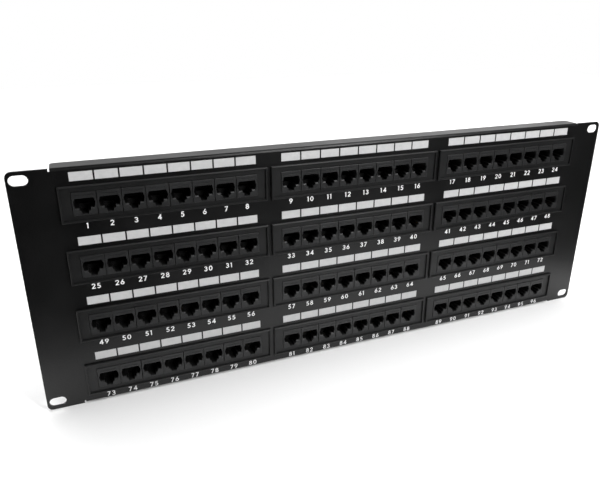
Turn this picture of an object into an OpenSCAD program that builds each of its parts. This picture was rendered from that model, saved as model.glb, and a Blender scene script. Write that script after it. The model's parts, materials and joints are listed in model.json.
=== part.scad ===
// Rack patch panel for eight-contact modular plugs.
// The origin is the middle of the four rack slots, on the ears' rear face.
// X runs to the right as seen from the front, +Y to the rear and +Z up.

/* [Panel] */
// Width of the panel over its ears
panel_w = 482.6; // [462:0.1:600]
// Height of one rack unit, which is also the distance between port rows
rack_unit = 44.45; // [41:0.05:60]
// Number of port rows, one to a rack unit
rows = 4; // [1:1:4]
// Play taken off the panel's full height of rack units
height_play = 0.8; // [0.2:0.1:2]
// Thickness of the steel sheet
sheet = 1.5; // [1:0.1:2.5]
// Radius of the ears' corners
ear_r = 4; // [1:0.5:8]
// Width of each ear, outside the flanges
ear_w = 25.8; // [20:0.1:40]
// Depth of the top and bottom flanges, over the front face
flange_d = 15; // [6:0.5:25]
// Inside radius of the flanges' bend
bend_r = 0.5; // [0.3:0.1:2]
// Radius of the flanges' rear corners
flange_r = 3; // [1:0.5:5]
// Width of the relief slit at each end of a bend
relief_w = 1; // [0.5:0.1:3]

/* [Rack slots] */
// Length of a slot
slot_l = 11.4; // [8:0.1:14]
// Height of a slot
slot_h = 7; // [5:0.1:8]
// Distance from the panel's side edge to the middle of a slot
slot_inset_x = 7.3; // [7:0.1:9]
// Distance from the edge of the outer rack unit to the middle of a slot
slot_inset_z = 6.35; // [5.5:0.05:9]

/* [Modules] */
// Number of modules in a row
modules = 3; // [1:1:3]
// Number of ports in a module, in pairs
ports = 8; // [2:2:8]
// Distance between neighbouring ports
port_pitch = 15.61; // [15.2:0.01:16]
// Gap between neighbouring bezels
bezel_gap = 3; // [1:0.5:10]
// Distance from the panel's top edge to the middle of the first label fields
label_drop = 6.2; // [4:0.1:8]
// Distance from the label fields' middle down to the middle of the ports
port_drop = 18.45; // [17:0.05:20]
// Width of a label field
label_w = 14.5; // [8:0.1:15]
// Height of a label field
label_h = 6; // [3:0.1:8]
// Thickness of the label print
label_t = 0.1; // [0.05:0.01:0.3]

/* [Bezel] */
// Height of a bezel
bezel_h = 25; // [22:0.5:28]
// Width of the bezel beside its end ports
bezel_side = 7.56; // [6.5:0.01:9]
// Height of the bezel's rim over the panel
rim_d = 2; // [1.2:0.1:3]
// Width of the rim
rim_w = 1.2; // [0.8:0.1:2]
// Chamfer on the rim's front edges
rim_chamfer = 0.5; // [0.2:0.1:0.7]
// Thickness of the bezel's sunk face
bezel_face = 0.6; // [0.4:0.1:1]
// Wall of the sleeve above and below the ports
sleeve_wall = 1.75; // [1.2:0.05:2.2]
// Wall of the sleeve beside the ports
cheek_w = 4.35; // [4:0.05:5.5]
// Depth of the sleeve behind the panel
sleeve_d = 9; // [6:0.5:12]
// Height of the cheeks that carry the circuit board
cheek_h = 16; // [14:0.5:19]
// Play between the sleeve and the panel's cut-out, on each side
cutout_play = 0.2; // [0.1:0.05:0.5]
// Play between the housings and the sleeve, on each side
housing_play = 0.15; // [0.05:0.05:0.3]
// Width of a snap hook
hook_w = 9; // [4:0.5:12]
// Reach of a snap hook beyond the sleeve
hook_reach = 1.3; // [0.8:0.1:2]
// Length of a snap hook
hook_l = 4; // [2:0.5:5]
// Play between a snap hook and the sheet
hook_play = 0.1; // [0.05:0.05:0.3]

/* [Jack housing] */
// Height of a housing
housing_h = 15.8; // [15.4:0.1:16.5]
// Depth of a housing
housing_d = 17.2; // [16.5:0.1:22]
// How far a housing's front stands out from the panel
housing_proud = 1.1; // [0.7:0.1:1.8]
// Gap between neighbouring housings
housing_gap = 0.35; // [0.2:0.05:0.6]
// Depth of the groove between the two ports of a housing
groove_d = 0.8; // [0.3:0.1:2]
// Width of the socket
socket_w = 11.9; // [11.7:0.05:12.4]
// Depth of the socket
socket_d = 14.2; // [13.6:0.1:15]
// Socket ceiling, over the middle of the port
socket_top = 3.45; // [3.2:0.05:3.8]
// Floor of the full-width part, below the middle of the port
socket_floor = 3.05; // [2.8:0.05:3.3]
// Width of the upper latch step
step_w = 7.2; // [6:0.1:8]
// Floor of the upper latch step, below the middle of the port
step_floor = 4.95; // [4.5:0.05:5.5]
// Width of the latch notch
notch_w = 3.9; // [3.5:0.1:5]
// Floor of the latch notch, below the middle of the port
notch_floor = 7.05; // [6:0.05:7.2]
// Depth of the latch notch
notch_d = 11; // [8:0.5:13]

/* [Contacts] */
// Number of contacts in a port
contacts = 8; // [4:2:8]
// Distance between neighbouring contacts
contact_pitch = 1.02; // [0.9:0.01:1.05]
// Width of a contact wire
wire_w = 0.46; // [0.3:0.02:0.6]
// Thickness of a contact wire
wire_t = 0.3; // [0.2:0.02:0.4]
// Bend of the contacts, behind the housing's front
bend_depth = 4.5; // [4.2:0.1:5.5]
// Bend of the contacts, over the middle of the port
bend_z = 3.2; // [3:0.05:3.25]
// Reach of a sprung finger behind its bend
finger_l = 8.4; // [5:0.1:9]
// Drop of the finger's tip below its bend
finger_drop = 1.8; // [1.5:0.05:1.9]
// Split between a finger and the carrier that holds it
finger_split = 0.1; // [0.05:0.01:0.15]
// Underside of the contact carrier over the middle of the port
carrier_z = 4.3; // [4.2:0.05:4.6]
// Thickness of the contact carrier
carrier_t = 0.6; // [0.5:0.05:0.9]
// Width of the contact carrier beside its end wires
carrier_side = 0.2; // [0.1:0.05:0.3]
// Play round the contact carrier in the housing
carrier_play = 0.1; // [0.05:0.05:0.2]

/* [Circuit board and punch-down blocks] */
// Height of a circuit board
board_h = 34; // [30:0.5:38]
// Thickness of a circuit board
board_t = 1.6; // [0.8:0.1:2.4]
// Overhang of the board past the cheeks
board_overhang = 1; // [0.5:0.1:1.5]
// Number of block rows on a board
block_rows = 2; // [2:1:2]
// Height of a block
block_h = 9.6; // [8:0.1:11]
// Distance from the port row's middle to each row of blocks
block_rise = 8.2; // [6.5:0.1:9]
// Gap between the ends of neighbouring blocks
block_gap = 0.8; // [0.4:0.1:2]
// Depth of a block's solid base
base_d = 7; // [4:0.5:10]
// Length of the teeth between the slits
tooth_d = 5; // [3:0.5:8]
// Extra length of the teeth that part the pairs
pair_tooth_extra = 1.4; // [0.5:0.1:2]
// Width of a slit
slit_w = 1; // [0.7:0.05:1.3]
// Plastic left between a slit's floor and the board
slit_floor = 2.5; // [0.8:0.1:3]
// Length of a clip in its slit
clip_l = 8; // [6:0.5:9]
// Width of a clip, across the block
clip_w = 5; // [3:0.5:7]
// Play of a clip in its slit, on each side
clip_play = 0.02; // [0.01:0.01:0.05]

/* [Screws] */
// Distance of the screws above and below the port row's middle
screw_rise = 5; // [3:0.1:5.5]
// Radius of a screw's shank
screw_r = 0.85; // [0.6:0.05:1]
// Radius of a screw's head
screw_head_r = 2; // [1.6:0.1:2.2]
// Height of a screw's head
screw_head_h = 1.4; // [1:0.1:2]
// Length of a screw under its head
screw_l = 8; // [5:0.5:10]
// Play round the shank in the cheek
pilot_play = 0.1; // [0.05:0.05:0.2]
// Play round the shank in the board
board_hole_play = 0.4; // [0.2:0.05:0.6]

/* [Hidden] */
$fn = 48;
eps = 0.01;

// Front face of the panel, and the planes that follow from it
front_y = -sheet;
rim_y = front_y - rim_d;
face_y = front_y - bezel_face;
housing_y = front_y - housing_proud;
board_y = housing_y + housing_d;
block_y = board_y + board_t;
socket_end_y = housing_y + socket_d;

// Panel
panel_h = rows * rack_unit - height_play;
panel_top = panel_h / 2;
flange_w = panel_w - 2 * ear_w;
bend_outer_r = bend_r + sheet;
slot_x = panel_w / 2 - slot_inset_x;
slot_z = rows * rack_unit / 2 - slot_inset_z;

// Modules
block_w = ports * port_pitch;
bezel_w = block_w + 2 * bezel_side;
module_pitch = bezel_w + bezel_gap;
opening_w = block_w - housing_gap + 2 * housing_play;
opening_h = housing_h + 2 * housing_play;
sleeve_w = opening_w + 2 * cheek_w;
sleeve_h = opening_h + 2 * sleeve_wall;
screw_x = opening_w / 2 + cheek_w / 2;
board_w = sleeve_w + 2 * board_overhang;
hook_xs = [for (side = [-1, 1]) for (share = [0.125, 0.375]) side * share * block_w];

// Contacts
bend_y = housing_y + bend_depth;
carrier_w = (contacts - 1) * contact_pitch + wire_w + 2 * carrier_side;
carrier_front_y = bend_y - carrier_t / 2;

// Punch-down blocks: half of the ports in each row of blocks
blocks_per_row = ports / block_rows;
block_pitch = block_w / blocks_per_row;
block_l = block_pitch - block_gap;
slit_pitch = block_l / (contacts + 1);
tooth_w = slit_pitch - slit_w;

// Middle of a module's ports, for modules counted from 1 along each row
function module_x(m) = ((m - 1) % modules - (modules - 1) / 2) * module_pitch;
function row_z(r) = panel_top - label_drop - port_drop - (r - 1) * rack_unit;
function module_row(m) = floor((m - 1) / modules) + 1;
function port_x(p) = (p - (ports + 1) / 2) * port_pitch;
function contact_x(c) = (c - (contacts + 1) / 2) * contact_pitch;
function row_modules(r) = [(r - 1) * modules + 1 : r * modules];

// A box given by its two corners
module box(low, high) {
    translate(low) cube(high - low);
}

// A box centred in X and Z, from one Y plane to another
module slab(w, h, y0, y1) {
    box([-w / 2, y0, -h / 2], [w / 2, y1, h / 2]);
}

// An outline in Y and Z, extruded along X about x = 0
module across(w) {
    rotate([90, 0, 90]) linear_extrude(w, center = true) children();
}

// An outline in X and Z, extruded from one Y plane to another
module through(y0, y1) {
    translate([0, y1, 0]) rotate([90, 0, 0]) linear_extrude(y1 - y0) children();
}

module at_module(m) {
    translate([module_x(m), 0, row_z(module_row(m))]) children();
}

module at_ports() {
    for (p = [1:ports]) translate([port_x(p), 0, 0]) children();
}

module at_contacts() {
    for (c = [1:contacts]) translate([contact_x(c), 0, 0]) children();
}

// A rectangle with round corners, centred
module round_rect(w, h, r) {
    square([w - 2 * r, h], center = true);
    square([w, h - 2 * r], center = true);
    for (x = [-1, 1]) for (z = [-1, 1]) translate([x * (w / 2 - r), z * (h / 2 - r)]) circle(r);
}

// ---- Front panel ----

module slot_outline() {
    straight = slot_l - slot_h;
    square([straight, slot_h], center = true);
    for (side = [-1, 1]) translate([side * straight / 2, 0]) circle(slot_h / 2);
}

module panel_outline() {
    difference() {
        round_rect(panel_w, panel_h, ear_r);
        for (x = [-1, 1]) for (z = [-1, 1]) translate([x * slot_x, z * slot_z]) slot_outline();
        for (z = [-1, 1]) translate([0, z * panel_top])
            square([flange_w + 2 * relief_w, 2 * bend_outer_r], center = true);
        for (m = [1:rows * modules]) translate([module_x(m), row_z(module_row(m))])
            square([sleeve_w + 2 * cutout_play, sleeve_h + 2 * cutout_play], center = true);
    }
}

// The bent edge along the panel's top: the bend and the flange behind it
module flange() {
    flange_end = front_y + flange_d;
    bend_axis_y = front_y + bend_outer_r;
    across(flange_w) intersection() {
        translate([bend_axis_y, panel_top - bend_outer_r]) difference() {
            circle(bend_outer_r);
            circle(bend_r);
        }
        translate([front_y, panel_top - bend_outer_r]) square(bend_outer_r);
    }
    translate([0, 0, panel_top - sheet]) linear_extrude(sheet) {
        translate([-flange_w / 2, bend_axis_y]) square([flange_w, flange_d - bend_outer_r - flange_r]);
        translate([-flange_w / 2 + flange_r, bend_axis_y])
            square([flange_w - 2 * flange_r, flange_d - bend_outer_r]);
        for (x = [-1, 1]) translate([x * (flange_w / 2 - flange_r), flange_end - flange_r]) circle(flange_r);
    }
}

module front_panel() {
    color("#161617") {
        through(front_y, 0) panel_outline();
        for (top = [0, 1]) mirror([0, 0, top]) flange();
    }
}

module label_fields() {
    color("#e4e6e6")
        for (m = [1:rows * modules]) at_module(m) at_ports()
            translate([0, 0, port_drop]) slab(label_w, label_h, front_y - label_t, front_y);
}

// ---- Bezel ----

// The rim and the sunk face in front of the panel
module bezel_face_plate() {
    difference() {
        slab(bezel_w, bezel_h, rim_y, front_y);
        slab(bezel_w - 2 * rim_w, bezel_h - 2 * rim_w, rim_y - 1, face_y);
        for (side = [-1, 1]) {
            translate([0, rim_y, side * bezel_h / 2]) rotate([45, 0, 0])
                cube([bezel_w + 2, rim_chamfer * sqrt(2), rim_chamfer * sqrt(2)], center = true);
            translate([side * bezel_w / 2, rim_y, 0]) rotate([0, 0, 45])
                cube([rim_chamfer * sqrt(2), rim_chamfer * sqrt(2), bezel_h + 2], center = true);
        }
    }
}

// A snap hook on top of the sleeve, with its catch towards the sheet
module hook() {
    across(hook_w) translate([hook_play, sleeve_h / 2 - eps])
        polygon([[0, 0], [0, hook_reach], [hook_l / 3, hook_reach], [hook_l, 0]]);
}

module bezel() {
    color("#2b2c2e") difference() {
        union() {
            bezel_face_plate();
            slab(sleeve_w, sleeve_h, face_y, sleeve_d);
            slab(sleeve_w, cheek_h, face_y, board_y);
            for (x = hook_xs) for (top = [0, 1]) mirror([0, 0, top]) translate([x, 0, 0]) hook();
        }
        slab(opening_w, opening_h, rim_y - 1, board_y + 1);
        // Slits over the joints between housings
        for (p = [2:2:ports - 2]) translate([port_x(p) + port_pitch / 2, 0, 0])
            slab(housing_gap, opening_h + 2 * sleeve_wall, face_y - 1, face_y + bezel_face / 2);
        for (side = [-1, 1]) for (z = [-1, 1])
            translate([side * screw_x, board_y + 1, z * screw_rise]) rotate([90, 0, 0])
                cylinder(h = screw_l - board_t + 2, r = screw_r + pilot_play);
    }
}

// ---- Jack housing ----

// The socket and the room for the contacts, cut from a housing
module socket() {
    y0 = housing_y - 1;
    box([-socket_w / 2, y0, -socket_floor], [socket_w / 2, socket_end_y, socket_top]);
    box([-step_w / 2, y0, -step_floor], [step_w / 2, socket_end_y, socket_top]);
    box([-notch_w / 2, y0, -notch_floor], [notch_w / 2, housing_y + notch_d, socket_top]);
    // The carrier's room: a shaft up from the socket, and a run to the rear
    room_w = carrier_w + 2 * carrier_play;
    room_y = carrier_front_y - carrier_play;
    room_top = carrier_z + carrier_t + carrier_play;
    box([-room_w / 2, room_y, 0], [room_w / 2, room_y + carrier_t + 2 * carrier_play, room_top]);
    box([-room_w / 2, room_y, carrier_z - carrier_play], [room_w / 2, board_y + 1, room_top]);
}

// One housing holds two neighbouring ports
module housing() {
    width = 2 * port_pitch - housing_gap;
    difference() {
        slab(width, housing_h, housing_y, board_y);
        slab(housing_gap, housing_h + 2, housing_y - 1, housing_y + groove_d);
        for (side = [-1, 1]) translate([side * port_pitch / 2, 0, 0]) socket();
    }
}

module jack_housings() {
    color("#333437")
        for (p = [1:2:ports - 1]) translate([port_x(p) + port_pitch / 2, 0, 0]) housing();
}

// ---- Contacts ----

// The sprung finger, which turns about the bend
module finger() {
    translate([0, bend_y, bend_z]) rotate([-atan(finger_drop / finger_l), 0, 0])
        box([-wire_w / 2, 0, -wire_t / 2], [wire_w / 2, norm([finger_l, finger_drop]), wire_t / 2]);
}

// The insert that holds the fixed runs of a port's contacts, from the bend to the board
module contact_carrier() {
    foot_z = bend_z + wire_t / 2 + finger_split;
    top_z = carrier_z + carrier_t;
    across(carrier_w) polygon([
        [carrier_front_y, foot_z], [carrier_front_y, top_z], [board_y, top_z],
        [board_y, carrier_z], [carrier_front_y + carrier_t, carrier_z], [carrier_front_y + carrier_t, foot_z]
    ]);
}

module contact_springs() {
    color("gold") at_ports() at_contacts() finger();
}

module contact_carriers(r) {
    color("#232426") for (m = row_modules(r)) at_module(m) at_ports() contact_carrier();
}

// ---- Circuit board, punch-down blocks and screws ----

module at_screws() {
    for (side = [-1, 1]) for (z = [-1, 1]) translate([side * screw_x, 0, z * screw_rise]) children();
}

module circuit_boards(r) {
    color("#1f5a38") for (m = row_modules(r)) at_module(m) difference() {
        slab(board_w, board_h, board_y, block_y);
        at_screws() translate([0, block_y + 1, 0]) rotate([90, 0, 0])
            cylinder(h = board_t + 2, r = screw_r + board_hole_play);
    }
}

module at_blocks() {
    for (side = [-1, 1]) for (b = [1:blocks_per_row])
        translate([(b - (blocks_per_row + 1) / 2) * block_pitch, block_y, side * block_rise]) children();
}

function slit_x(c) = (c - (contacts + 1) / 2) * slit_pitch;

// One four-pair block: a base with teeth, and a slit for each wire between them
module idc_block() {
    translate([0, 0, -block_h / 2]) linear_extrude(block_h) difference() {
        union() {
            translate([-block_l / 2, 0]) square([block_l, base_d]);
            for (t = [0:contacts]) translate([(t - contacts / 2) * slit_pitch - tooth_w / 2, 0])
                square([tooth_w, base_d + tooth_d + (t % 2 == 0 ? pair_tooth_extra : 0)]);
        }
        for (c = [1:contacts]) translate([slit_x(c) - slit_w / 2, slit_floor]) square([slit_w, base_d]);
    }
}

// The clip that stands in a slit and grips the wire
module idc_clip() {
    half_w = slit_w / 2 - clip_play;
    box([-half_w, slit_floor, -clip_w / 2], [half_w, slit_floor + clip_l, clip_w / 2]);
}

module idc_blocks(r) {
    color("#1c1d1f") for (m = row_modules(r)) at_module(m) at_blocks() idc_block();
}

module idc_clips(r) {
    color("silver") for (m = row_modules(r)) at_module(m) at_blocks()
        for (c = [1:contacts]) translate([slit_x(c), 0, 0]) idc_clip();
}

// Pan head with a cross recess, seated on the board
module screw() {
    recess_l = screw_head_r * 1.2;
    recess_w = screw_head_r * 0.3;
    rotate([90, 0, 0]) difference() {
        union() {
            translate([0, 0, -screw_head_h]) cylinder(h = screw_head_h, r = screw_head_r);
            cylinder(h = screw_l, r = screw_r);
        }
        for (turn = [0, 90]) translate([0, 0, -screw_head_h]) rotate([0, 0, turn])
            cube([recess_l, recess_w, screw_head_h * 1.2], center = true);
    }
}

module module_screws() {
    color("silver") for (m = [1:rows * modules]) at_module(m) at_screws()
        translate([0, block_y, 0]) screw();
}

front_panel();
label_fields();
for (m = [1:rows * modules]) {
    at_module(m) bezel();
    at_module(m) jack_housings();
    at_module(m) contact_springs();
}
for (r = [1:rows]) {
    contact_carriers(r);
    circuit_boards(r);
    idc_blocks(r);
    idc_clips(r);
}
module_screws();
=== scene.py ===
import json
import math

import bpy
import numpy as np
from mathutils import Matrix, Vector


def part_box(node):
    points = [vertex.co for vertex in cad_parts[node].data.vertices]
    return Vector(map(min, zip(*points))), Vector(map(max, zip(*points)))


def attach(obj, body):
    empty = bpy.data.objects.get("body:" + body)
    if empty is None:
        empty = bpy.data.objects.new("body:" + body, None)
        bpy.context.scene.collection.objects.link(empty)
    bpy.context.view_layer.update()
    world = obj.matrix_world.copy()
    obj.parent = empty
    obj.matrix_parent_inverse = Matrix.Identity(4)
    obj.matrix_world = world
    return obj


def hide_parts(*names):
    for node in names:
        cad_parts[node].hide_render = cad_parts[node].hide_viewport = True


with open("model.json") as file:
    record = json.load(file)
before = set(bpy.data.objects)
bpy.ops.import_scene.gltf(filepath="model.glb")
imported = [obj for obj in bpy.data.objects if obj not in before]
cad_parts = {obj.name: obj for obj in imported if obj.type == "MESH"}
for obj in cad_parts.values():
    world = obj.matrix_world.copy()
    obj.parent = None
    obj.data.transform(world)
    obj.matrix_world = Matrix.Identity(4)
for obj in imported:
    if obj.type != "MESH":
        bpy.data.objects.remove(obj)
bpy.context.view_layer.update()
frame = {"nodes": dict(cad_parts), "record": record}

ROOT = "panel_body"
MM = 0.001
ROWS = 4
MODULES = 12
NODES = frame["nodes"]


# ---- Places, read from the frame ----

def islands(node):
    """Boxes (low, high) of a CAD node's separate solids, as arrays of 3 numbers each."""
    mesh = NODES[node].data
    # Each face has corners of its own, so those at one place, to a micrometre, are joined first
    co = np.array([v.co for v in mesh.vertices], float)
    keys, index = np.unique(np.round(co * 1e6).astype(np.int64), axis=0, return_inverse=True)
    index = index.reshape(-1)
    group = np.arange(len(keys))

    def find(a):
        while group[a] != a:
            group[a] = group[group[a]]
            a = group[a]
        return a

    for face in mesh.polygons:
        corners = [find(index[v]) for v in face.vertices]
        for other in corners[1:]:
            group[find(other)] = find(corners[0])
    roots = np.array([find(a) for a in range(len(keys))])
    return [
        (keys[roots == r].min(0) * 1e-6, keys[roots == r].max(0) * 1e-6)
        for r in np.unique(roots)
    ]


def middle(box):
    return (np.asarray(box[0]) + np.asarray(box[1])) / 2


def in_reading_order(boxes):
    """Rows from the top down, and each row from left to right."""
    return sorted(boxes, key=lambda b: (-round(middle(b)[2], 3), middle(b)[0]))


panel_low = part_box("front_panel")[0]
front_y = panel_low.y
label_boxes = in_reading_order(islands("label_fields"))
port_row_z = [
    middle(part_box(f"jack_housings_{1 + row * MODULES // ROWS}"))[2] for row in range(ROWS)
]


# ---- Adding to the scene ----

def add_node(tree, kind, **settings):
    node = tree.nodes.new(kind)
    for key, value in settings.items():
        setattr(node, key, value)
    return node


def add_object(name, data):
    made = bpy.data.objects.new(name, data)
    bpy.context.scene.collection.objects.link(made)
    return made


def add_mesh(name, points, faces):
    mesh = bpy.data.meshes.new(name)
    mesh.from_pydata(points, [], faces)
    return add_object(name, mesh)


# ---- Materials ----

class Look:
    """A Principled material whose colour, roughness and bump come from noise in the object's own space."""

    def __init__(self, name, rough=0.5, metallic=0.0, **sockets):
        self.material = bpy.data.materials.new(name)
        self.material.use_nodes = True
        self.tree = self.material.node_tree
        self.shader = self.tree.nodes["Principled BSDF"]
        self.shader.inputs["Metallic"].default_value = metallic
        self.shader.inputs["Roughness"].default_value = rough
        for socket, value in sockets.items():
            self.shader.inputs[socket.replace("_", " ")].default_value = value
        self.space = self.node("ShaderNodeTexCoord").outputs["Object"]
        self.height = None

    def node(self, kind, **settings):
        return add_node(self.tree, kind, **settings)

    def link(self, source, target):
        self.tree.links.new(source, target)

    def noise(self, size, detail=3.0, roughness=0.55, stretch=(1, 1, 1)):
        """Noise whose features are about size metres across, stretched along the axes."""
        mapping = self.node("ShaderNodeMapping")
        mapping.inputs["Scale"].default_value = [1 / (size * s) for s in stretch]
        self.link(self.space, mapping.inputs["Vector"])
        texture = self.node("ShaderNodeTexNoise")
        texture.inputs["Scale"].default_value = 1.0
        texture.inputs["Detail"].default_value = detail
        texture.inputs["Roughness"].default_value = roughness
        self.link(mapping.outputs["Vector"], texture.inputs["Vector"])
        return texture.outputs["Fac"]

    def spread(self, fac, low, high, steps=(0.3, 0.7)):
        """Maps the range in steps, by default the noise's usual one, onto low to high."""
        node = self.node("ShaderNodeMapRange")
        node.inputs["From Min"].default_value = steps[0]
        node.inputs["From Max"].default_value = steps[1]
        node.inputs["To Min"].default_value = low
        node.inputs["To Max"].default_value = high
        self.link(fac, node.inputs["Value"])
        return node.outputs["Result"]

    def colours(self, fac, low, high, steps=(0.3, 0.7)):
        """Colour that runs from low to high with the noise."""
        ramp = self.node("ShaderNodeValToRGB")
        ramp.color_ramp.elements[0].position = steps[0]
        ramp.color_ramp.elements[1].position = steps[1]
        ramp.color_ramp.elements[0].color = (*low, 1)
        ramp.color_ramp.elements[1].color = (*high, 1)
        self.link(fac, ramp.inputs["Fac"])
        return ramp.outputs["Color"]

    def mix(self, fac, first, second):
        node = self.node("ShaderNodeMix", data_type="RGBA")
        self.link(fac, node.inputs["Factor"])
        self.link(first, node.inputs["A"])
        self.link(second, node.inputs["B"])
        return node.outputs["Result"]

    def colour(self, source):
        self.link(source, self.shader.inputs["Base Color"])
        return self

    def roughness(self, source):
        self.link(source, self.shader.inputs["Roughness"])
        return self

    def bump(self, source, depth, strength=1.0):
        """Adds a bump of the given depth in metres on top of the bumps so far."""
        node = self.node("ShaderNodeBump")
        node.inputs["Distance"].default_value = depth
        node.inputs["Strength"].default_value = strength
        self.link(source, node.inputs["Height"])
        if self.height is not None:
            self.link(self.height, node.inputs["Normal"])
        self.height = node.outputs["Normal"]
        self.link(self.height, self.shader.inputs["Normal"])
        return self


def powder_coat():
    """Satin black powder coat: a fine pebbled skin, with faint dust and rubbing."""
    look = Look("powder_coat", IOR=1.5)
    pebbles = look.noise(1.3 * MM, 2.0, 0.5)
    cloud = look.noise(60 * MM, 4.0, 0.6)
    specks = look.noise(2.4 * MM, 5.0, 0.7)
    base = look.colours(cloud, (0.0020, 0.0020, 0.0021), (0.0042, 0.0042, 0.0044))
    dust = look.colours(specks, (0.004, 0.004, 0.0042), (0.016, 0.016, 0.016), (0.62, 0.85))
    look.colour(look.mix(look.spread(specks, 0, 1, (0.6, 0.8)), base, dust))
    look.roughness(look.spread(cloud, 0.34, 0.43))
    look.bump(pebbles, 0.11 * MM, 0.8).bump(specks, 0.06 * MM, 0.4)
    return look.material


# Length over which the painted shade deep in a recess grows to its full darkness
SHADE_RAMP = 1.2 * MM


def moulded(name, low, high, rough, grain, depth, shade_from=None):
    """Moulded plastic with a fine spark-eroded grain and slight flow marks.

    From a given Y on, over a fixed length, it turns darker and less glossy: painted shade deep in a recess.
    """
    look = Look(name, IOR=1.46)
    grains = look.noise(grain, 2.0, 0.6)
    flow = look.noise(14 * MM, 3.0, 0.5, stretch=(2.5, 1, 0.6))
    colour = look.colours(flow, low, high)
    # Painted shade: deeper into the socket the plastic is painted near black and made less glossy
    if shade_from is not None:
        split = look.node("ShaderNodeSeparateXYZ")
        look.link(look.space, split.inputs["Vector"])
        steps = (shade_from, shade_from + SHADE_RAMP)
        inside = look.spread(split.outputs["Y"], 0, 1, steps)
        dark = look.colours(flow, (0.008, 0.008, 0.008), (0.012, 0.012, 0.012))
        colour = look.mix(inside, colour, dark)
        gloss = look.spread(split.outputs["Y"], 0.5, 0.15, steps)
        look.link(gloss, look.shader.inputs["Specular IOR Level"])
    look.colour(colour)
    look.roughness(look.spread(grains, rough - 0.05, rough + 0.06))
    look.bump(grains, depth, 0.6).bump(flow, 0.02 * MM, 0.15)
    return look.material


def screen_print(name, low, high):
    """Screen-printed white ink: nearly even, with the weave of the screen."""
    look = Look(name, IOR=1.45)
    mottle = look.noise(3.5 * MM, 4.0, 0.6)
    weave = look.noise(0.25 * MM, 1.0, 0.5)
    look.colour(look.colours(mottle, low, high))
    look.roughness(look.spread(weave, 0.55, 0.7))
    look.bump(weave, 0.008 * MM, 0.5)
    return look.material


def gold_wire():
    """Gold plating with drawing marks along the wire."""
    look = Look("gold_plating", rough=0.25, metallic=1.0)
    drawn = look.noise(0.12 * MM, 3.0, 0.6, stretch=(1, 12, 1))
    tone = look.noise(2 * MM, 3.0, 0.6)
    look.colour(look.colours(tone, (0.72, 0.47, 0.15), (0.90, 0.66, 0.28)))
    look.roughness(look.spread(drawn, 0.18, 0.38))
    look.bump(drawn, 0.0015 * MM, 0.3)
    return look.material


def plated(name, low, high, rough_low, rough_high):
    """Tin or zinc plating: a soft metal shine with fine scuffs."""
    look = Look(name, metallic=1.0)
    scuffs = look.noise(0.35 * MM, 5.0, 0.7, stretch=(3, 1, 1))
    tone = look.noise(1.6 * MM, 3.0, 0.6)
    look.colour(look.colours(tone, low, high))
    look.roughness(look.spread(scuffs, rough_low, rough_high))
    look.bump(scuffs, 0.01 * MM, 0.4)
    return look.material


def solder_mask():
    """Green solder mask over laminate, with buried copper tracks showing as raised lines."""
    look = Look("solder_mask", rough=0.3, Coat_Weight=0.4, Coat_Roughness=0.15)
    mapping = look.node("ShaderNodeMapping")
    mapping.inputs["Rotation"].default_value = (math.radians(90), 0, 0)
    look.link(look.space, mapping.inputs["Vector"])
    tracks = look.node(
        "ShaderNodeTexBrick", offset=0.37, offset_frequency=2, squash=1.6, squash_frequency=3)
    tracks.inputs["Scale"].default_value = 1.0
    tracks.inputs["Mortar Size"].default_value = 0.22 * MM
    tracks.inputs["Mortar Smooth"].default_value = 0.4
    tracks.inputs["Brick Width"].default_value = 6.4 * MM
    tracks.inputs["Row Height"].default_value = 1.27 * MM
    look.link(mapping.outputs["Vector"], tracks.inputs["Vector"])
    weave = look.noise(0.5 * MM, 2.0, 0.5)
    cloud = look.noise(20 * MM, 3.0, 0.5)
    bare = look.colours(cloud, (0.004, 0.045, 0.018), (0.006, 0.065, 0.026))
    copper = look.colours(cloud, (0.012, 0.11, 0.042), (0.018, 0.14, 0.055))
    look.colour(look.mix(tracks.outputs["Fac"], bare, copper))
    look.roughness(look.spread(weave, 0.24, 0.36))
    look.bump(tracks.outputs["Fac"], 0.035 * MM, 0.8).bump(weave, 0.01 * MM, 0.4)
    return look.material


# How far behind the jacks' front face the painted shade inside their sockets starts to darken the plastic
SHADE_BEHIND = 0.7 * MM
LOOKS = {
    "panel_coat": powder_coat(),
    "label_ink": screen_print("label_print", (0.50, 0.502, 0.505), (0.55, 0.55, 0.55)),
    "bezel_plastic": moulded(
        "bezel_plastic", (0.0075, 0.0076, 0.0078), (0.011, 0.0112, 0.0115),
        rough=0.46, grain=0.35 * MM, depth=0.02 * MM),
    "jack_plastic": moulded(
        "jack_plastic", (0.014, 0.0142, 0.0146), (0.021, 0.0214, 0.022),
        rough=0.43, grain=0.25 * MM, depth=0.012 * MM,
        shade_from=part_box("jack_housings_1")[0].y + SHADE_BEHIND),
    "carrier_plastic": moulded(
        "carrier_plastic", (0.006, 0.006, 0.006), (0.010, 0.010, 0.0105),
        rough=0.5, grain=0.3 * MM, depth=0.015 * MM),
    "idc_plastic": moulded(
        "idc_plastic", (0.012, 0.012, 0.013), (0.020, 0.020, 0.021),
        rough=0.36, grain=0.4 * MM, depth=0.012 * MM),
    "contact_gold": gold_wire(),
    "clip_metal": plated(
        "tin_plate", (0.55, 0.55, 0.53), (0.74, 0.73, 0.70), rough_low=0.25, rough_high=0.42),
    "screw_steel": plated(
        "zinc_plate", (0.50, 0.51, 0.52), (0.66, 0.66, 0.64), rough_low=0.24, rough_high=0.40),
    "board_laminate": solder_mask(),
}
NUMBER_PRINT = screen_print("number_print", (0.86, 0.86, 0.86), (0.93, 0.93, 0.93))
PAIR_COLOURS = {
    "blue": (0.02, 0.09, 0.42),
    "orange": (0.72, 0.17, 0.01),
    "green": (0.02, 0.26, 0.05),
    "brown": (0.14, 0.055, 0.02),
}
PAIR_MARKS = [
    moulded(f"pair_mark_{name}", tuple(c * 0.85 for c in colour), colour,
            rough=0.45, grain=0.3 * MM, depth=0.01 * MM)
    for name, colour in PAIR_COLOURS.items()
]

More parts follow.
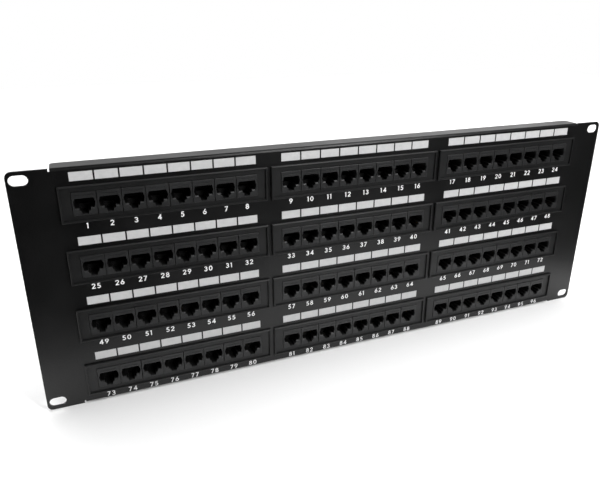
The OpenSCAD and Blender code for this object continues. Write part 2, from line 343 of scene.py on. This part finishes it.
for entry in frame["record"]["subparts"]:
    data = NODES[entry["node"]].data
    data.materials.clear()
    data.materials.append(LOOKS[entry["material_slot"]])


# ---- Building meshes ----

class Shape:
    """Collects closed shells, and turns them into one object."""

    def __init__(self):
        self.points, self.faces = [], []

    def add(self, points, faces):
        base = len(self.points)
        self.points += [tuple(p) for p in points]
        self.faces += [tuple(base + i for i in f) for f in faces]

    def loft(self, rings):
        """A closed shell through rings of equally many points, each counter-clockwise about the path."""
        count = len(rings[0])
        faces = [tuple(reversed(range(count)))]
        for level in range(len(rings) - 1):
            a, b = level * count, (level + 1) * count
            faces += [(a + i, a + (i + 1) % count, b + (i + 1) % count, b + i) for i in range(count)]
        last = (len(rings) - 1) * count
        faces.append(tuple(last + i for i in range(count)))
        self.add([p for ring in rings for p in ring], faces)

    def finish(self, name, material, slot, body=ROOT, smooth_angle=None, bevel=None):
        piece = add_mesh(name, self.points, self.faces)
        piece.data.materials.append(material)
        if smooth_angle is not None:
            piece.data.shade_smooth()
            piece.data.set_sharp_from_angle(angle=math.radians(smooth_angle))
        if bevel:
            add_bevel(piece, bevel)
        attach(piece, body)
        return piece


def add_bevel(piece, width):
    bevel = piece.modifiers.new("edge_round", "BEVEL")
    bevel.width = width
    bevel.segments = 2
    bevel.limit_method = "ANGLE"
    bevel.angle_limit = math.radians(40)
    bevel.use_clamp_overlap = True
    bevel.harden_normals = True


def soften(node, width):
    """Rounds a CAD node's edges with modifiers: its mesh stays as it is."""
    piece = NODES[node]
    weld = piece.modifiers.new("weld", "WELD")
    weld.merge_threshold = 1e-6
    add_bevel(piece, width)


def ring_xz(cx, cz, half_x, half_z, y, corner=0.0):
    """A rectangle in X and Z at one Y, its corners cut if asked; counter-clockwise as seen from -Y."""
    c = corner
    if c <= 0:
        return [(cx - half_x, y, cz - half_z), (cx + half_x, y, cz - half_z),
                (cx + half_x, y, cz + half_z), (cx - half_x, y, cz + half_z)]
    return [
        (cx - half_x + c, y, cz - half_z), (cx + half_x - c, y, cz - half_z),
        (cx + half_x, y, cz - half_z + c), (cx + half_x, y, cz + half_z - c),
        (cx + half_x - c, y, cz + half_z), (cx - half_x + c, y, cz + half_z),
        (cx - half_x, y, cz + half_z - c), (cx - half_x, y, cz - half_z + c),
    ]


# ---- Port numbers ----

DIGIT_H = 3.9 * MM
DIGIT_STROKE = 0.65 * MM
DIGIT_GAP = 0.95 * MM
DIGIT_WIDEN = 1.12
INK = 0.06 * MM
# From the middle of a row of ports down to the middle of its numbers
NUMBER_DROP = 15.55 * MM
# A stroke's corners reach out by at most 1 / MITRE times its half width
MITRE = 0.5


def arc(cx, cy, rx, ry, start, end, steps=14):
    """Points on an ellipse from start to end, in degrees."""
    return [
        (cx + rx * math.cos(math.radians(start + (end - start) * i / steps)),
         cy + ry * math.sin(math.radians(start + (end - start) * i / steps)))
        for i in range(steps + 1)
    ]


# Each digit's strokes in a cell one unit high, and the cell's width
DIGITS = {
    "0": (0.62, [arc(0.31, 0.5, 0.23, 0.42, 0, 360, 28)]),
    "1": (0.34, [[(0.20, 0.0), (0.20, 0.99)], [(0.02, 0.84), (0.20, 0.915)]]),
    "2": (0.58, [arc(0.29, 0.70, 0.215, 0.22, 170, -38) + [(0.09, 0.085)],
                 [(0.02, 0.083), (0.57, 0.083)]]),
    "3": (0.56, [arc(0.26, 0.72, 0.19, 0.195, 160, -90) + [(0.20, 0.525)],
                 [(0.20, 0.525)] + arc(0.26, 0.30, 0.215, 0.22, 90, -165)]),
    "4": (0.66, [[(0.46, 0.0), (0.46, 0.98)], [(0.50, 0.93), (0.08, 0.30)], [(0.03, 0.29), (0.65, 0.29)]]),
    "5": (0.58, [[(0.52, 0.917), (0.17, 0.917)], [(0.20, 0.95), (0.13, 0.50)],
                 [(0.13, 0.53)] + arc(0.27, 0.33, 0.22, 0.25, 118, -150)]),
    "6": (0.60, [arc(0.30, 0.31, 0.225, 0.23, 0, 360, 24), [(0.42, 0.97), (0.10, 0.42)]]),
    "7": (0.56, [[(0.02, 0.917), (0.55, 0.917)], [(0.49, 0.95), (0.15, 0.0)]]),
    "8": (0.58, [arc(0.29, 0.73, 0.175, 0.185, 0, 360, 22), arc(0.29, 0.295, 0.215, 0.215, 0, 360, 24)]),
    "9": (0.60, [arc(0.30, 0.69, 0.225, 0.23, 0, 360, 24), [(0.18, 0.03), (0.50, 0.58)]]),
}


def ribbon(shape, path, width, to_world, y0, y1):
    """A flat stroke along a path in the panel's plane, as a closed shell from y0 to y1.

    Strokes that cross differ in y0, so that no two faces lie in one plane.
    """
    closed = math.dist(path[0], path[-1]) < 1e-9
    if closed:
        path = path[:-1]
    count = len(path)
    edges = []
    for i, (x, z) in enumerate(path):
        before = path[i - 1] if closed or i > 0 else None
        after = path[(i + 1) % count] if closed or i < count - 1 else None
        into = Vector((x, z)) - Vector(before) if before else None
        out = Vector(after) - Vector((x, z)) if after else None
        run = sum((way.normalized() for way in (into, out) if way), Vector((0, 0))).normalized()
        side = Vector((-run.y, run.x))
        reach = width / 2
        if into and out:
            reach /= max(MITRE, abs(side.dot(Vector((-into.y, into.x)).normalized())))
        edges.append([(x + side.x * reach * s, z + side.y * reach * s) for s in (1, -1)])
    rings = []
    for left, right in edges:
        lx, lz = to_world(*left)
        rx, rz = to_world(*right)
        rings.append([(rx, y0, rz), (rx, y1, rz), (lx, y1, lz), (lx, y0, lz)])
    if not closed:
        shape.loft(rings)
        return
    faces = []
    for i in range(count):
        a, b = i * 4, ((i + 1) % count) * 4
        faces += [(a + k, a + (k + 1) % 4, b + (k + 1) % 4, b + k) for k in range(4)]
    shape.add([p for ring in rings for p in ring], faces)


def port_numbers():
    """White numbers below the ports, counted along each row from the top."""
    drop = port_row_z[0] - NUMBER_DROP
    first_row = middle(label_boxes[0])[2]
    per_row = len(label_boxes) // ROWS
    for row in range(ROWS):
        shape = Shape()
        for i in range(per_row):
            box = label_boxes[row * per_row + i]
            cx = middle(box)[0]
            cz = middle(box)[2] - first_row + drop
            text = str(row * per_row + i + 1)
            widths = [DIGITS[d][0] * DIGIT_H * DIGIT_WIDEN for d in text]
            x = cx - (sum(widths) + DIGIT_GAP * (len(text) - 1)) / 2
            for digit, width in zip(text, widths):
                for layer, stroke in enumerate(DIGITS[digit][1]):
                    ribbon(shape, stroke, DIGIT_STROKE / DIGIT_H,
                           lambda u, v, x=x, cz=cz: (x + u * DIGIT_H * DIGIT_WIDEN, cz + (v - 0.5) * DIGIT_H),
                           front_y - INK * (1 + layer / 4), front_y)
                x += width + DIGIT_GAP
        shape.finish(f"port_numbers_row_{row + 1}", NUMBER_PRINT, "label_ink")


port_numbers()


# ---- Jack housings ----

PORT_PITCH = 15.61 * MM
# The socket's outline at the right, from the top down, as (X, Z) in mm: at its throat, and at its mouth
THROAT = [
    (5.80, 3.55), (6.85, 0.35), (5.80, -3.05), (3.6, -3.05), (3.4, -4.60), (2.10, -5.25), (1.98, -7.05)]
MOUTH = [
    (5.84, 3.85), (6.92, 0.35), (6.00, -3.80), (3.68, -3.80), (3.46, -4.75), (2.18, -5.40), (2.02, -7.20)]
FLARE = 0.7 * MM
# The cutter runs on past the mouth by this share of the flare
RUN_ON = 0.5
NOTCH_DEPTH = 11 * MM
# Behind the notch the socket is a plain box, as (X, Z) in mm
REAR = [(-5.95, -3.05), (5.95, -3.05), (5.95, 3.45), (-5.95, 3.45)]
REAR_OVERLAP = 0.5 * MM
SOCKET_DEPTH = 14.2 * MM
# The channel for the contact carrier: over the socket, then down at its rear
CARRIER_PLAY = 0.1 * MM
CARRIER_WALL = 0.7 * MM
CARRIER_FOOT_Z = 0.5 * MM
# The front face's round edge, as (distance behind the front, inset)
FRONT_EDGE = [(0.30 * MM, 0), (0.09 * MM, 0.09 * MM), (0, 0.30 * MM)]
STRIP_HALF = 5.6 * MM
STRIP_LOW, STRIP_HIGH = 5.35 * MM, 6.25 * MM
STRIP_DEPTH = 0.28 * MM
GROOVE_HALF = 0.28 * MM
GROOVE_DEPTH = 0.8 * MM
CLEAR = 1 * MM
JACK_BEVEL = 0.07 * MM


def outline_ring(right_side, cx, y):
    """A ring at one Y from the right half of an outline that is the same on both sides."""
    left = [(-x, z) for x, z in reversed(right_side)]
    return [(cx + x * MM, y, z * MM) for x, z in reversed(right_side + left)]


def temporary(shape):
    return add_mesh("temporary", shape.points, shape.faces)


def carve(body, cutters):
    """The body's mesh with each cutter taken away in turn; the temporary objects go."""
    tools = [temporary(c) for c in cutters]
    for tool in tools:
        cut = body.modifiers.new("cut", "BOOLEAN")
        cut.object = tool
        cut.operation = "DIFFERENCE"
        cut.solver = "EXACT"
    depsgraph = bpy.context.evaluated_depsgraph_get()
    mesh = bpy.data.meshes.new_from_object(body.evaluated_get(depsgraph))
    for piece in [body, *tools]:
        data = piece.data
        bpy.data.objects.remove(piece)
        bpy.data.meshes.remove(data)
    return mesh


def block(low, high):
    shape = Shape()
    corners = [(low[0], low[2]), (high[0], low[2]), (high[0], high[2]), (low[0], high[2])]
    shape.loft([[(x, y, z) for x, z in corners] for y in (high[1], low[1])])
    return shape


def housing_mesh(size, front, back, carrier):
    """A two-port housing about X = Z = 0.

    It has flared sockets with latch steps, a shallow strip above each, and a groove between them.
    """
    body = Shape()
    levels = [(back, 0)] + [(front + behind, inset) for behind, inset in FRONT_EDGE]
    body.loft([ring_xz(0, 0, size[0] / 2 - inset, size[2] / 2 - inset, y) for y, inset in levels])
    cutters = []
    for side in (-1, 1):
        cx = side * PORT_PITCH / 2
        beyond = [(mx + (mx - tx) * RUN_ON, mz + (mz - tz) * RUN_ON)
                  for (mx, mz), (tx, tz) in zip(MOUTH, THROAT)]
        socket = Shape()
        socket.loft([
            outline_ring(THROAT, cx, front + NOTCH_DEPTH), outline_ring(THROAT, cx, front + FLARE),
            outline_ring(MOUTH, cx, front), outline_ring(beyond, cx, front - FLARE * RUN_ON)])
        cutters.append(socket)
        rear = Shape()
        rear.loft([[(cx + x * MM, y, z * MM) for x, z in REAR]
                   for y in (front + SOCKET_DEPTH, front + NOTCH_DEPTH - REAR_OVERLAP)])
        cutters.append(rear)
        low, high = carrier
        half = (high[0] - low[0]) / 2 + CARRIER_PLAY
        cutters.append(block((cx - half, low[1] - CARRIER_PLAY, CARRIER_FOOT_Z),
                             (cx + half, low[1] + CARRIER_WALL, high[2] + CARRIER_PLAY)))
        cutters.append(block((cx - half, low[1] - CARRIER_PLAY, high[2] - CARRIER_WALL),
                             (cx + half, back + CLEAR, high[2] + CARRIER_PLAY)))
        cutters.append(block((cx - STRIP_HALF, front - CLEAR, STRIP_LOW),
                             (cx + STRIP_HALF, front + STRIP_DEPTH, STRIP_HIGH)))
    cutters.append(block((-GROOVE_HALF, front - CLEAR, -size[2]),
                         (GROOVE_HALF, front + GROOVE_DEPTH, size[2])))
    return carve(temporary(body), cutters)


def jack_housings():
    low, high = islands("jack_housings_1")[0]
    centre = (low + high) / 2
    carriers = islands("contact_carriers_row_1")
    near = min(carriers, key=lambda b: abs(middle(b)[0] - centre[0]))
    shift = np.array([0, 0, centre[2]])
    mesh = housing_mesh(high - low, low[1], high[1], (near[0] - shift, near[1] - shift))
    points = np.array([v.co for v in mesh.vertices])
    faces = [tuple(p.vertices) for p in mesh.polygons]
    for m in range(1, MODULES + 1):
        node = f"jack_housings_{m}"
        shape = Shape()
        for box in islands(node):
            place = middle(box)
            shape.add(points + (place[0], 0, place[2]), faces)
        piece = shape.finish(f"jacks_{m}", LOOKS["jack_plastic"], "jack_plastic", bevel=JACK_BEVEL)
        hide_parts(node)
    bpy.data.meshes.remove(mesh)


jack_housings()


# ---- Contact fingers ----

WIRE_RING = 8
# A circle widened by this much and cut back to the wire's size has flat sides
WIRE_FLAT = 1.25
WIRE_HALF = 0.15 * MM
# A finger's points along its straight run, and its bend and tip as (Y, Z) from the run's ends
RUN_POINTS = (0.03, 0.25, 0.5, 0.75, 0.9)
BEND = (-0.10 * MM, 0.05 * MM)
TIP_START = (-0.35 * MM, 0.02 * MM)
TIP_RISE = 0.22 * MM


def wire(shape, path, half_w, half_t):
    """A flat-sided wire along a path in Y and Z whose points share one X."""
    rings = []
    for i, (x, y, z) in enumerate(path):
        before = path[max(i - 1, 0)]
        after = path[min(i + 1, len(path) - 1)]
        run = Vector((0, after[1] - before[1], after[2] - before[2])).normalized()
        up = Vector((0, -run.z, run.y))
        ring = []
        for k in range(WIRE_RING):
            angle = -2 * math.pi * (k + 0.5) / WIRE_RING
            u = max(-1, min(1, WIRE_FLAT * math.cos(angle))) * half_w
            v = max(-1, min(1, WIRE_FLAT * math.sin(angle))) * half_t
            ring.append((x + u, y + up.y * v, z + up.z * v))
        rings.append(ring)
    shape.loft(rings)


def contact_fingers():
    """Each module's sprung fingers: a tight bend, a straight run and a turned-up tip."""
    for m in range(1, MODULES + 1):
        node = f"contact_springs_{m}"
        shape = Shape()
        for low, high in islands(node):
            x = (low[0] + high[0]) / 2
            half_w = (high[0] - low[0]) / 2
            start = Vector((low[1] + WIRE_HALF, high[2] - WIRE_HALF))
            tip = Vector((high[1] - WIRE_HALF, low[2] + WIRE_HALF))
            run = (tip - start).normalized()
            path = [(x, start.x + BEND[0], start.y + BEND[1])]
            path += [(x, *(start + run * (tip - start).length * t)) for t in RUN_POINTS]
            path += [(x, tip.x + TIP_START[0], tip.y + TIP_START[1]), (x, tip.x, tip.y + TIP_RISE)]
            wire(shape, path, half_w, WIRE_HALF)
        piece = shape.finish(f"fingers_{m}", LOOKS["contact_gold"], "contact_gold", node, smooth_angle=50)
        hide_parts(node)


contact_fingers()


# ---- Punch-down blocks and clips ----

CONTACTS = 8
SLIT = 1.0 * MM
TIP = 1.5 * MM
MARK_L = 1.4 * MM
MARK_SKIN = 0.03 * MM
CORNER = 0.25 * MM
BLOCK_CORNER = 0.4 * MM
# How far behind a block's front its slits' floor and its wide base end
FLOOR_RISE = 2.5 * MM
BASE_RISE = 7 * MM
# How much narrower than the base a tooth is, each way, and how much shorter the odd teeth are
NECK_INSET = 1.3 * MM
ODD_SHORTER = 1.4 * MM

# A clip's outline: its foot's and its tips' half widths, the fork's half gap and the fork's places
CLIP_HALF = 1.15 * MM
CLIP_TIP = 0.65 * MM
CLIP_CUT = 0.3 * MM
CLIP_HALF_T = 0.18 * MM
CLIP_TURN = math.radians(45)
GAP_HALF = 0.14 * MM
GAP_FOOT = 2 * MM
GAP_MOUTH = 1.6 * MM

# In mm, between the pins of a port and between their two lines and the middle
PIN_PITCH = 1.27
SOLDER_SIDES = 8
# From the pin's cut end to inside the board, as (radius, height over the board)
SOLDER = [(0.20 * MM, 0.95 * MM), (0.24 * MM, 0.5 * MM), (0.5 * MM, 0.2 * MM), (0.7 * MM, -0.02 * MM)]


def tooth(low, high, index):
    """A tooth's middle X, half widths in X and Z, and end in Y.

    The even teeth, which part the pairs, are taller.
    """
    pitch = (high[0] - low[0]) / (CONTACTS + 1)
    x = (low[0] + high[0]) / 2 + (index - CONTACTS / 2) * pitch
    neck = (high[2] - low[2]) / 2 - NECK_INSET
    return x, (pitch - SLIT) / 2, neck, high[1] - (0 if index % 2 == 0 else ODD_SHORTER)


def block_shells(shape, low, high):
    """One four-pair block: a base, and teeth with narrow ends between its slits."""
    cx, cz = (low[0] + high[0]) / 2, (low[2] + high[2]) / 2
    half_z = (high[2] - low[2]) / 2
    floor_y = low[1] + FLOOR_RISE
    base_y = low[1] + BASE_RISE
    half_x = (high[0] - low[0]) / 2
    shape.loft([ring_xz(cx, cz, half_x, half_z, y, BLOCK_CORNER) for y in (floor_y, low[1])])
    for index in range(CONTACTS + 1):
        x, half_x, neck, end_y = tooth(low, high, index)
        shape.loft([
            ring_xz(x, cz, half_x * 0.25, neck - 0.40 * MM, end_y, 0.1 * MM),
            ring_xz(x, cz, half_x * 0.45, neck - 0.25 * MM, end_y - 0.12 * MM, 0.15 * MM),
            ring_xz(x, cz, half_x, neck, end_y - TIP, CORNER),
            ring_xz(x, cz, half_x, neck, base_y, CORNER),
            ring_xz(x, cz, half_x, half_z, base_y - 0.5 * MM, CORNER),
            ring_xz(x, cz, half_x, half_z, floor_y - 0.05 * MM, CORNER),
        ])


def pair_mark(shape, low, high, pair):
    """A coloured cap on the end of the tooth between a pair's two wires."""
    cz = (low[2] + high[2]) / 2
    x, half_x, neck, end_y = tooth(low, high, CONTACTS - 1 - 2 * pair)
    shape.loft([
        ring_xz(x, cz, half_x * 0.45, neck - 0.25 * MM, end_y + MARK_SKIN, 0.15 * MM),
        ring_xz(x, cz, half_x + MARK_SKIN, neck + MARK_SKIN, end_y - TIP, CORNER),
        ring_xz(x, cz, half_x + MARK_SKIN, neck + MARK_SKIN, end_y - TIP - MARK_L, CORNER),
    ])


def punch_down_blocks():
    marks = [Shape() for _ in PAIR_MARKS]
    for row in range(1, ROWS + 1):
        node = f"idc_blocks_row_{row}"
        shape = Shape()
        for low, high in islands(node):
            block_shells(shape, low, high)
            for pair, mark in enumerate(marks):
                pair_mark(mark, low, high, pair)
        piece = shape.finish(f"punch_blocks_row_{row}", LOOKS["idc_plastic"], "idc_plastic")
        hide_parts(node)
    for name, mark, material in zip(PAIR_COLOURS, marks, PAIR_MARKS):
        mark.finish(f"pair_marks_{name}", material, "idc_plastic")


def clips():
    """A forked blade across each slit, with its throat open to the rear."""
    for row in range(1, ROWS + 1):
        node = f"idc_clips_row_{row}"
        shape = Shape()
        for low, high in islands(node):
            cx, cz = (low[0] + high[0]) / 2, (low[2] + high[2]) / 2
            y0, y1 = low[1], high[1]
            outline = [
                (-CLIP_HALF, y0), (CLIP_HALF, y0), (CLIP_HALF, y1 - CLIP_CUT), (CLIP_TIP, y1),
                (GAP_HALF, y1 - GAP_MOUTH), (GAP_HALF, y0 + GAP_FOOT),
                (-GAP_HALF, y0 + GAP_FOOT), (-GAP_HALF, y1 - GAP_MOUTH),
                (-CLIP_TIP, y1), (-CLIP_HALF, y1 - CLIP_CUT)]
            count = len(outline)
            points = []
            for side in (-1, 1):
                for u, y in outline:
                    px = cx + u * math.cos(CLIP_TURN) - side * CLIP_HALF_T * math.sin(CLIP_TURN)
                    pz = cz + u * math.sin(CLIP_TURN) + side * CLIP_HALF_T * math.cos(CLIP_TURN)
                    points.append((px, y, pz))
            faces = [(i, (i + 1) % count, count + (i + 1) % count, count + i) for i in range(count)]
            # The fork as quads: foot, then the two tines on each face
            for base, flip in ((0, False), (count, True)):
                flat = [(0, 1, 5, 6), (1, 2, 4, 5), (2, 3, 4), (6, 7, 9, 0), (7, 8, 9)]
                faces += [tuple(base + i for i in (f if flip else f[::-1])) for f in flat]
            shape.add(points, faces)
        piece = shape.finish(f"clips_row_{row}", LOOKS["clip_metal"], "clip_metal")
        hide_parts(node)


def solder_joints():
    """The jacks' pins, clipped short in cones of solder: eight to a port in two staggered lines."""
    board_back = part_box("circuit_boards_row_1")[1].y
    turns = [2 * math.pi * k / SOLDER_SIDES for k in range(SOLDER_SIDES)]
    for row in range(1, ROWS + 1):
        shape = Shape()
        cz = port_row_z[row - 1]
        for port in islands(f"contact_carriers_row_{row}"):
            for pin in range(CONTACTS):
                x = middle(port)[0] + (pin - (CONTACTS - 1) / 2) * PIN_PITCH * MM
                z = cz + (PIN_PITCH if pin % 2 else -PIN_PITCH) * MM
                shape.loft([
                    [(x + r * math.cos(turn), board_back + rise, z + r * math.sin(turn)) for turn in turns]
                    for r, rise in SOLDER])
        shape.finish(f"solder_joints_row_{row}", LOOKS["clip_metal"], "clip_metal", smooth_angle=60)


punch_down_blocks()
clips()
solder_joints()


# ---- Floor, light and camera ----

FLOOR_HALF = 1.8
# Distances from the origin between which the floor turns into the white behind it
FLOOR_GLOW = (0.8, 1.7)
CARD_LOW, CARD_HEIGHT = 0.001, 0.19
CARD_STEP = 0.02
CARD_POINTS = 121
# The card's distance in front of the panel, as (X, distance)
CARD_LINE = [
    (-1.2, 0.070), (-0.22, 0.070), (-0.10, 0.115), (0.02, 0.19),
    (0.14, 0.20), (0.24, 0.12), (0.29, 0.045), (1.2, 0.04)]
# The world's strength behind the panel, in front and overhead, and its gain towards the right
WORLD_BACK, WORLD_FRONT, WORLD_TOP, WORLD_RIGHT = 0.95, 0.05, 0.08, 1.5


def stage_material(name, colour, rough=0.9, glow_from=None):
    """A plain surface for the stage, with a glow that only the camera's rays see if one is asked for."""
    look = Look(name, rough=rough)
    grain = look.noise(1.5 * MM, 3.0, 0.6)
    look.colour(look.colours(grain, tuple(c * 0.99 for c in colour), colour))
    if glow_from is not None:
        length = look.node("ShaderNodeVectorMath", operation="LENGTH")
        look.link(look.space, length.inputs[0])
        seen = look.node("ShaderNodeMath", operation="MULTIPLY")
        look.link(look.spread(length.outputs["Value"], 0, 1, glow_from), seen.inputs[0])
        look.link(look.node("ShaderNodeLightPath").outputs["Is Camera Ray"], seen.inputs[1])
        look.shader.inputs["Emission Color"].default_value = (1, 1, 1, 1)
        look.link(seen.outputs["Value"], look.shader.inputs["Emission Strength"])
    return look.material


def plane(name, corners, material):
    piece = add_mesh(name, corners, [(0, 1, 2, 3)])
    piece.data.materials.append(material)


def floor_and_card():
    floor_z = panel_low.z
    corners = [(x * FLOOR_HALF, y * FLOOR_HALF, floor_z) for x, y in ((-1, -1), (1, -1), (1, 1), (-1, 1))]
    plane("floor", corners, stage_material("floor_paper", (0.93, 0.93, 0.93), glow_from=FLOOR_GLOW))
    # A bowed black card stands in front, out of the camera's sight: the panel mirrors it above the floor
    xs = [CARD_LINE[0][0] + CARD_STEP * i for i in range(CARD_POINTS)]
    ys = [-float(np.interp(x, *zip(*CARD_LINE))) for x in xs]
    points = [(x, y, floor_z + h) for x, y in zip(xs, ys) for h in (CARD_LOW, CARD_HEIGHT)]
    faces = [(2 * i, 2 * i + 1, 2 * i + 3, 2 * i + 2) for i in range(CARD_POINTS - 1)]
    card = add_mesh("dark_card", points, faces)
    card.data.materials.append(stage_material("card_black", (0.01, 0.01, 0.01)))
    card.visible_camera = False
    card.visible_diffuse = False
    card.visible_shadow = False


def area_light(name, place, target, size, power, size_y=None):
    data = bpy.data.lights.new(name, "AREA")
    data.energy = power
    data.size = size
    if size_y:
        data.shape = "RECTANGLE"
        data.size_y = size_y
    light = add_object(name, data)
    light.location = place
    light.rotation_euler = (Vector(target) - Vector(place)).to_track_quat("-Z", "Y").to_euler()
    return light


def world_light():
    """White to the camera; as a light, bright at the back's horizon, most at the right, dim elsewhere."""
    world = bpy.data.worlds.new("studio")
    bpy.context.scene.world = world
    world.use_nodes = True
    tree = world.node_tree

    def node(kind, **settings):
        return add_node(tree, kind, **settings)

    def step(source, start, end, low, high):
        made = node("ShaderNodeMapRange", interpolation_type="SMOOTHSTEP")
        for name, value in (("From Min", start), ("From Max", end), ("To Min", low), ("To Max", high)):
            made.inputs[name].default_value = value
        tree.links.new(source, made.inputs["Value"])
        return made.outputs["Result"]

    split = node("ShaderNodeSeparateXYZ")
    tree.links.new(node("ShaderNodeTexCoord").outputs["Generated"], split.inputs["Vector"])
    product = node("ShaderNodeMath", operation="MULTIPLY")
    tree.links.new(step(split.outputs["Y"], start=-0.2, end=0.5, low=WORLD_FRONT / WORLD_BACK, high=1.0),
                   product.inputs[0])
    tree.links.new(step(split.outputs["Z"], start=0.25, end=0.65, low=WORLD_BACK, high=WORLD_TOP),
                   product.inputs[1])
    rightward = node("ShaderNodeMath", operation="MULTIPLY")
    tree.links.new(product.outputs["Value"], rightward.inputs[0])
    tree.links.new(step(split.outputs["X"], start=-0.1, end=0.7, low=1.0, high=WORLD_RIGHT),
                   rightward.inputs[1])
    background = tree.nodes["Background"]
    background.inputs["Color"].default_value = (1, 1, 1, 1)
    tree.links.new(rightward.outputs["Value"], background.inputs["Strength"])
    seen = node("ShaderNodeBackground")
    seen.inputs["Color"].default_value = (1, 1, 1, 1)
    mix = node("ShaderNodeMixShader")
    tree.links.new(node("ShaderNodeLightPath").outputs["Is Camera Ray"], mix.inputs["Fac"])
    tree.links.new(background.outputs["Background"], mix.inputs[1])
    tree.links.new(seen.outputs["Background"], mix.inputs[2])
    tree.links.new(mix.outputs["Shader"], tree.nodes["World Output"].inputs["Surface"])


def lights():
    world_light()
    # The large lamp overhead whitens the floor and lights the print; only the softboxes show in the gloss
    overhead = area_light("overhead", place=(0, 0.8, 1.9), target=(0, 0.3, 0), size=3.0, power=82.0)
    overhead.visible_glossy = False
    area_light("softbox_top", place=(0.30, -0.30, 0.85), target=(0.05, 0, 0.05),
               size=0.55, power=3.5, size_y=0.25)
    area_light("softbox_front", place=(0.40, -0.85, 0.52), target=(0.05, 0, 0.08),
               size=0.20, power=5.5, size_y=0.2)


def camera():
    """The photograph's viewing angle: from the left, above and in front."""
    data = bpy.data.cameras.new("camera")
    data.sensor_width = 36.0
    data.lens = 34.96
    data.shift_x = -0.017666667
    data.shift_y = -0.025
    data.clip_start = 0.01
    data.clip_end = 50
    eye = Vector((-0.1963, -0.3899, 0.1863))
    forward = Vector((0.3503, 0.8630, -0.3640)).normalized()
    right = Vector((0.9275, -0.3737, 0.0065)).normalized()
    up = right.cross(forward).normalized()
    right = forward.cross(up)
    turn = Matrix((right, up, -forward)).transposed()
    view = add_object("camera", data)
    view.matrix_world = Matrix.Translation(eye) @ turn.to_4x4()
    bpy.context.scene.camera = view


floor_and_card()
lights()
camera()
bpy.context.scene.view_settings.view_transform = "Standard"

BEZEL_BEVEL = 0.22 * MM
for number in range(1, MODULES + 1):
    soften(f"bezel_{number}", BEZEL_BEVEL)
